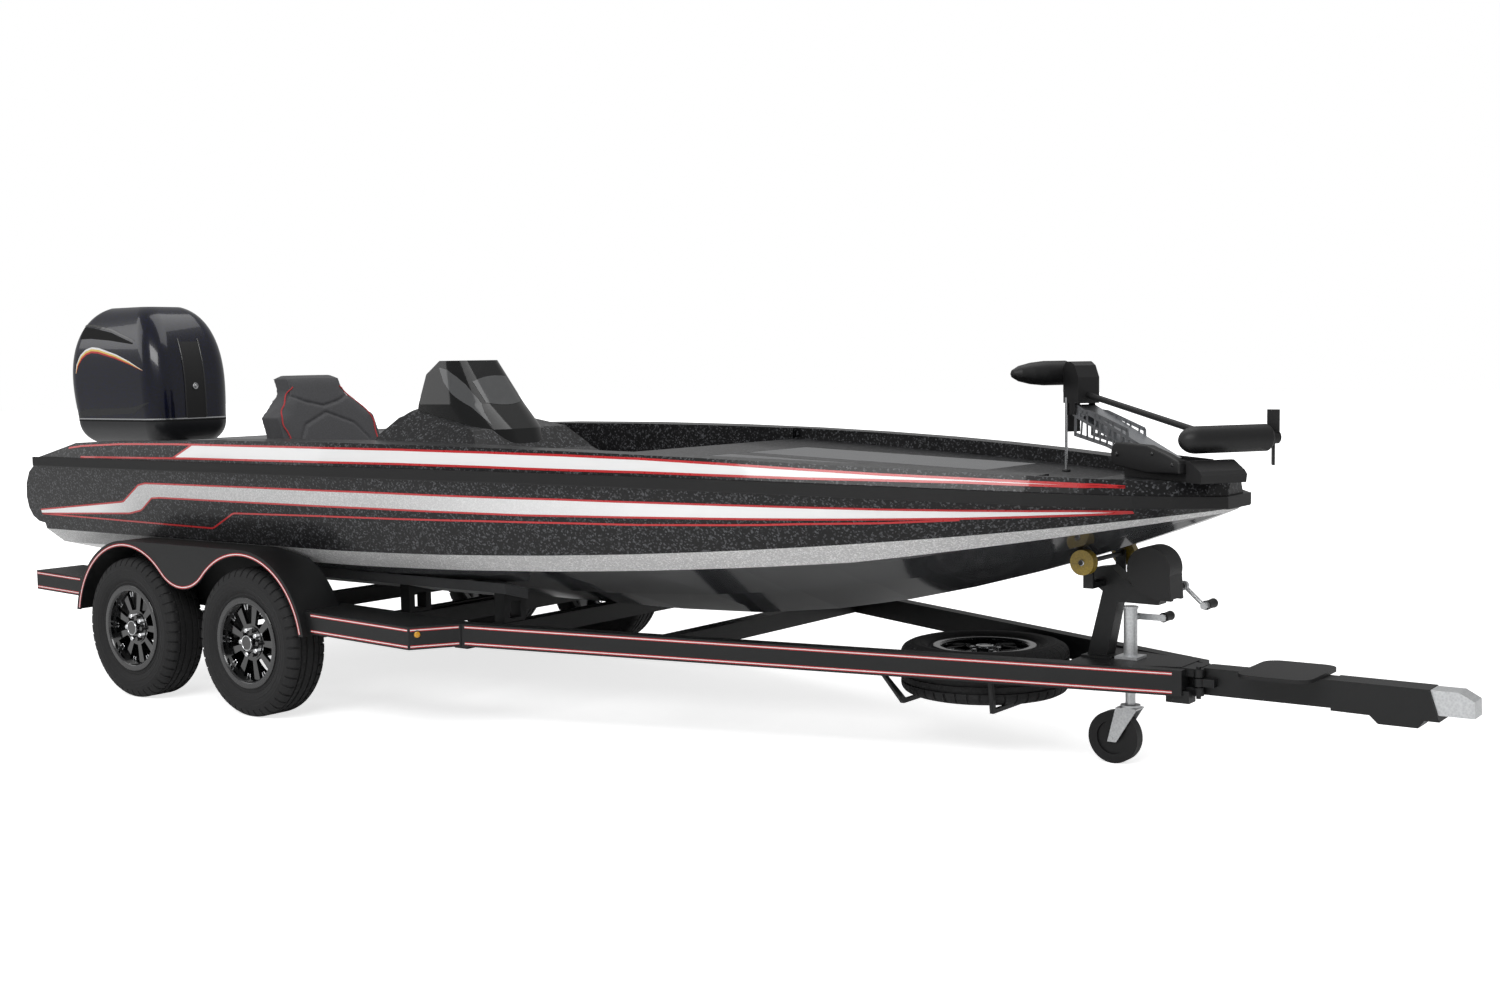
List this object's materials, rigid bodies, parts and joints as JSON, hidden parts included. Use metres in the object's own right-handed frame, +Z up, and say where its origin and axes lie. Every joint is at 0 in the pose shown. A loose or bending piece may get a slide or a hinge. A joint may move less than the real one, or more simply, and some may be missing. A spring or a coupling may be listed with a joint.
{
  "type": "bass boat on trailer",
  "caption": "Low open fishing boat with outboard engine, bow motor, helm console and lidded decks, standing on a tandem-axle bunk trailer with swing tongue, winch post and jack.",
  "frame": {"origin": "middle of the bounding box on the ground", "axes": "+X towards the bow and coupler, +Y to port, +Z up"},
  "size_m": [7.9011, 2.576, 1.938],
  "materials": {
    "hull_gelcoat": "gloss",
    "deck_gelcoat": "gloss",
    "rub_rubber": "satin",
    "deck_carpet": "matte",
    "trailer_paint": "satin",
    "bunk_carpet": "matte",
    "step_grip": "matte",
    "tyre_rubber": "matte",
    "wheel_alloy": "gloss",
    "galvanised": "satin",
    "jack_wheel_plastic": "matte",
    "roller_amber": "gloss",
    "winch_black": "satin",
    "console_gelcoat": "gloss",
    "smoked_screen": "gloss",
    "wheel_grip": "satin",
    "seat_vinyl": "satin",
    "seat_base": "matte",
    "engine_paint": "gloss",
    "cowl_gloss": "gloss",
    "cowl_grey": "satin",
    "engine_iron": "rough",
    "prop_steel": "polished",
    "troll_alloy": "satin",
    "troll_black": "satin"
  },
  "bodies": {
    "boat_and_trailer": {"axles": "trailer_paint", "bunk_brackets": "trailer_paint", "bunks": "bunk_carpet", "console": "console_gelcoat", "deck_cap": "deck_gelcoat", "engine_bracket": "engine_paint", "fender_port": "trailer_paint", "fender_starboard": "trailer_paint", "hull": "hull_gelcoat", "jack_tube": "trailer_paint", "rub_rail": "rub_rubber", "seat_back_port": "seat_vinyl", "seat_back_starboard": "seat_vinyl", "seat_box": "seat_base", "seat_cushion_port": "seat_vinyl", "seat_cushion_starboard": "seat_vinyl", "spare_carrier": "trailer_paint", "spare_rim": "wheel_alloy", "spare_tyre": "tyre_rubber", "trailer_frame": "trailer_paint", "troll_base": "troll_black", "winch_housing": "winch_black", "winch_post": "trailer_paint", "windscreen": "smoked_screen"},
    "wheel_port_front": {"tyre_port_front": "tyre_rubber", "rim_port_front": "wheel_alloy"},
    "wheel_port_rear": {"tyre_port_rear": "tyre_rubber", "rim_port_rear": "wheel_alloy"},
    "wheel_starboard_front": {"tyre_starboard_front": "tyre_rubber", "rim_starboard_front": "wheel_alloy"},
    "wheel_starboard_rear": {"tyre_starboard_rear": "tyre_rubber", "rim_starboard_rear": "wheel_alloy"},
    "swing_tongue": {"tongue": "trailer_paint", "step_pad": "step_grip", "coupler_sleeve": "trailer_paint", "coupler_nose": "galvanised"},
    "jack_inner": {"jack_leg": "galvanised"},
    "caster": {"caster_fork": "galvanised"},
    "caster_wheel": {"jack_wheel": "jack_wheel_plastic"},
    "jack_handle": {"jack_crank": "galvanised"},
    "winch_handle": {"winch_crank": "galvanised"},
    "roller_port": {"bow_roller_port": "roller_amber"},
    "roller_starboard": {"bow_roller_starboard": "roller_amber"},
    "engine_swivel": {"swivel_bracket": "engine_paint"},
    "engine": {"engine_midsection": "engine_paint", "cowl_lower": "cowl_grey", "cowl_upper": "cowl_gloss", "engine_block": "engine_iron"},
    "engine_propeller": {"propeller": "prop_steel"},
    "helm_wheel": {"steering_wheel": "wheel_grip"},
    "lid_front_port": {"front_lid_port": "deck_carpet"},
    "lid_front_starboard": {"front_lid_starboard": "deck_carpet"},
    "lid_rear_port": {"rear_lid_port": "deck_carpet"},
    "lid_rear_starboard": {"rear_lid_starboard": "deck_carpet"},
    "bow_motor_arm": {"troll_arm": "troll_alloy"},
    "bow_motor": {"troll_housing": "troll_black", "troll_shaft": "troll_alloy", "troll_head": "troll_black", "troll_motor": "troll_black"},
    "bow_motor_propeller": {"troll_prop": "troll_black"}
  },
  "joints": [
    {"name": "wheel_port_front_spin", "type": "hinge", "parent": "boat_and_trailer", "child": "wheel_port_front", "pos_m": [-1.0099, 1.1825, 0.338], "axis": [0, 1, 0], "continuous": true},
    {"name": "wheel_port_rear_spin", "type": "hinge", "parent": "boat_and_trailer", "child": "wheel_port_rear", "pos_m": [-1.8849, 1.1825, 0.338], "axis": [0, 1, 0], "continuous": true},
    {"name": "wheel_starboard_front_spin", "type": "hinge", "parent": "boat_and_trailer", "child": "wheel_starboard_front", "pos_m": [-1.0099, -1.1825, 0.338], "axis": [0, 1, 0], "continuous": true},
    {"name": "wheel_starboard_rear_spin", "type": "hinge", "parent": "boat_and_trailer", "child": "wheel_starboard_rear", "pos_m": [-1.8849, -1.1825, 0.338], "axis": [0, 1, 0], "continuous": true},
    {"name": "tongue_swing", "type": "hinge", "parent": "boat_and_trailer", "child": "swing_tongue", "pos_m": [2.9896, -0.075, 0.36], "axis": [0, 0, -1], "range_deg": [0, 110]},
    {"name": "jack_slide", "type": "slide", "parent": "boat_and_trailer", "child": "jack_inner", "axis": [0, 0, 1], "range_m": [0, 0.075]},
    {"name": "caster_swivel", "type": "hinge", "parent": "jack_inner", "child": "caster", "pos_m": [2.6876, 0, 0.215], "axis": [0, 0, 1], "continuous": true},
    {"name": "caster_wheel_spin", "type": "hinge", "parent": "caster", "child": "caster_wheel", "pos_m": [2.6256, 0, 0.1015], "axis": [0, 1, 0], "continuous": true},
    {"name": "jack_crank_turn", "type": "hinge", "parent": "boat_and_trailer", "child": "jack_handle", "pos_m": [2.6876, 0.073, 0.564], "axis": [0, 1, 0], "continuous": true},
    {"name": "winch_crank_turn", "type": "hinge", "parent": "boat_and_trailer", "child": "winch_handle", "pos_m": [2.8226, 0.19, 0.678], "axis": [0, 1, 0], "continuous": true},
    {"name": "bow_roller_port_spin", "type": "hinge", "parent": "boat_and_trailer", "child": "roller_port", "pos_m": [2.5826, 0.185, 0.79351], "axis": [0, 1, 0], "continuous": true},
    {"name": "bow_roller_starboard_spin", "type": "hinge", "parent": "boat_and_trailer", "child": "roller_starboard", "pos_m": [2.5826, -0.185, 0.79351], "axis": [0, 1, 0], "continuous": true},
    {"name": "engine_tilt", "type": "hinge", "parent": "boat_and_trailer", "child": "engine_swivel", "pos_m": [-3.0574, 0, 1.075], "axis": [0, 1, 0], "range_deg": [0, 60]},
    {"name": "engine_steer", "type": "hinge", "parent": "engine_swivel", "child": "engine", "pos_m": [-3.2374, 0, 0.9], "axis": [0, 0, 1], "range_deg": [-30, 30]},
    {"name": "engine_propeller_spin", "type": "hinge", "parent": "engine", "child": "engine_propeller", "pos_m": [-3.8074, 0, 0.3], "axis": [1, 0, 0], "continuous": true},
    {"name": "helm_wheel_turn", "type": "hinge", "parent": "boat_and_trailer", "child": "helm_wheel", "pos_m": [-0.6614, -0.54, 1.212], "axis": [-0.9063, 0, 0.4226], "range_deg": [-400, 400]},
    {"name": "front_lid_port_hinge", "type": "hinge", "parent": "boat_and_trailer", "child": "lid_front_port", "pos_m": [1.4326, 0.515, 1.13786], "axis": [-0.9991, 0, 0.0422], "range_deg": [0, 80]},
    {"name": "front_lid_starboard_hinge", "type": "hinge", "parent": "boat_and_trailer", "child": "lid_front_starboard", "pos_m": [1.4326, -0.515, 1.13786], "axis": [0.9991, 0, -0.0422], "range_deg": [0, 80]},
    {"name": "rear_lid_port_hinge", "type": "hinge", "parent": "boat_and_trailer", "child": "lid_rear_port", "pos_m": [-2.0374, 0.635, 1.2], "axis": [-1, 0, 0], "range_deg": [0, 80]},
    {"name": "rear_lid_starboard_hinge", "type": "hinge", "parent": "boat_and_trailer", "child": "lid_rear_starboard", "pos_m": [-2.0374, -0.635, 1.2], "axis": [1, 0, 0], "range_deg": [0, 80]},
    {"name": "bow_motor_stow", "type": "hinge", "parent": "boat_and_trailer", "child": "bow_motor_arm", "pos_m": [2.86286, -0.04145, 1.1663], "axis": [0.5592, 0.829, 0], "range_deg": [0, 150]},
    {"name": "bow_motor_lean", "type": "hinge", "parent": "bow_motor_arm", "child": "bow_motor", "pos_m": [2.34056, 0.31084, 1.3483], "axis": [0.5592, 0.829, 0], "range_deg": [-70, 0]},
    {"name": "bow_motor_propeller_spin", "type": "hinge", "parent": "bow_motor", "child": "bow_motor_propeller", "pos_m": [3.1965, 0.10985, 1.2583], "axis": [0.5592, 0.829, 0], "continuous": true}
  ],
  "couplings": [
    {"joint": "helm_wheel_turn", "follows": "engine_steer", "ratio": -12},
    {"joint": "bow_motor_lean", "follows": "bow_motor_stow", "ratio": -0.46}
  ]
}
